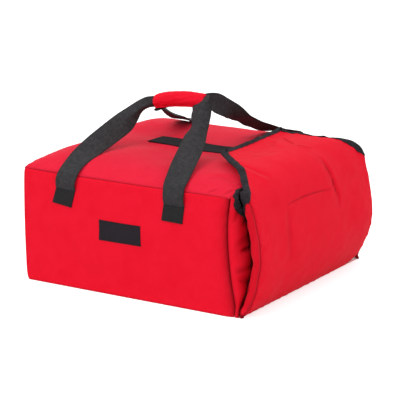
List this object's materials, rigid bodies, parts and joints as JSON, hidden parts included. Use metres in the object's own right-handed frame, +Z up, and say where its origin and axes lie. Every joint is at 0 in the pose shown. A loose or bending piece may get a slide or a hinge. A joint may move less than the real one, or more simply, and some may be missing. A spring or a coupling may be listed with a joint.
{
  "type": "pizza delivery bag",
  "caption": "Padded nylon box bag that loads at one end, with a fold-over flap, side gussets and two webbing handles joined by a padded grip wrap.",
  "frame": {"origin": "centre of the base under the side handles, on the floor", "axes": "+X from the closed end to the mouth, +Y to the back, +Z up"},
  "size_m": [0.5133, 0.4596, 0.3517],
  "materials": {
    "red_nylon": "matt woven nylon",
    "lining_nylon": "smooth coated nylon",
    "wadding": "soft fibre wadding",
    "webbing": "ribbed woven webbing",
    "binding_tape": "woven tape",
    "hook_and_loop": "napped loops and hooks",
    "label_patch": "woven patch"
  },
  "bodies": {
    "bag_body": {"back_closed_end_handle_tab": "webbing", "back_gusset_body_binding": "binding_tape", "back_gusset_body_half": "red_nylon", "back_lining": "lining_nylon", "back_mouth_handle_tab": "webbing", "back_outer": "red_nylon", "back_wadding": "wadding", "base_back_seam_tape": "binding_tape", "base_front_seam_tape": "binding_tape", "base_lining": "lining_nylon", "base_outer": "red_nylon", "base_wadding": "wadding", "closed_end_lining": "lining_nylon", "closed_end_outer": "red_nylon", "closed_end_seam_tape": "binding_tape", "closed_end_wadding": "wadding", "front_closed_end_handle_tab": "webbing", "front_gusset_body_binding": "binding_tape", "front_gusset_body_half": "red_nylon", "front_label_patch": "label_patch", "front_lining": "lining_nylon", "front_mouth_handle_tab": "webbing", "front_outer": "red_nylon", "front_wadding": "wadding", "top_back_seam_tape": "binding_tape", "top_front_seam_tape": "binding_tape", "top_lining": "lining_nylon", "top_loop_strip": "hook_and_loop", "top_mouth_binding": "binding_tape", "top_outer": "red_nylon", "top_wadding": "wadding"},
    "flap_end": {"flap_hem_lining": "lining_nylon", "flap_hem_outer": "red_nylon", "flap_hem_wadding": "wadding", "back_gusset_flap_binding": "binding_tape", "back_gusset_flap_half": "red_nylon", "front_gusset_flap_binding": "binding_tape", "front_gusset_flap_half": "red_nylon", "flap_end_lining": "lining_nylon", "flap_end_outer": "red_nylon", "flap_end_wadding": "wadding"},
    "flap_lid": {"flap_fold_lining": "lining_nylon", "flap_fold_outer": "red_nylon", "flap_fold_wadding": "wadding", "fold_back_binding": "binding_tape", "fold_front_binding": "binding_tape", "lid_binding": "binding_tape", "lid_hook_strip": "hook_and_loop", "lid_lining": "lining_nylon", "lid_outer": "red_nylon", "lid_wadding": "wadding"},
    "front_handle": {"front_handle": "webbing", "grip_pad_sewn_half": "wadding", "grip_wrap_sewn_half": "red_nylon", "grip_loop_tape": "hook_and_loop"},
    "back_handle": {"back_handle": "webbing"},
    "grip_wrap": {"grip_pad_closing_half": "wadding", "grip_wrap_closing_half": "red_nylon", "grip_hook_tape": "hook_and_loop"}
  },
  "joints": [
    {"name": "flap_open", "type": "hinge", "parent": "bag_body", "child": "flap_end", "pos_m": [0.26553, 0, 0.01292], "axis": [0, 1, 0], "range_deg": [0, 90], "deforming": ["flap_hem_lining", "flap_hem_outer", "flap_hem_wadding", "back_gusset_flap_binding", "back_gusset_flap_half", "front_gusset_flap_binding", "front_gusset_flap_half", "back_gusset_body_binding", "back_gusset_body_half", "front_gusset_body_binding", "front_gusset_body_half"]},
    {"name": "lid_open", "type": "hinge", "parent": "flap_end", "child": "flap_lid", "pos_m": [0.24226, 0, 0.24786], "axis": [0, 1, 0], "range_deg": [0, 90], "deforming": ["flap_fold_lining", "flap_fold_outer", "flap_fold_wadding", "fold_back_binding", "fold_front_binding"]},
    {"name": "front_handle_swing", "type": "hinge", "parent": "bag_body", "child": "front_handle", "pos_m": [-0.017, -0.2298, 0.189], "axis": [1, 0, 0], "range_deg": [0, 180]},
    {"name": "back_handle_swing", "type": "hinge", "parent": "bag_body", "child": "back_handle", "pos_m": [-0.017, 0.2298, 0.189], "axis": [-1, 0, 0], "range_deg": [0, 180]},
    {"name": "grip_wrap_open", "type": "hinge", "parent": "front_handle", "child": "grip_wrap", "pos_m": [-0.017, -0.026, 0.35171], "axis": [1, 0, 0], "range_deg": [0, 150], "deforming": ["grip_pad_closing_half", "grip_wrap_closing_half", "grip_hook_tape"]}
  ]
}
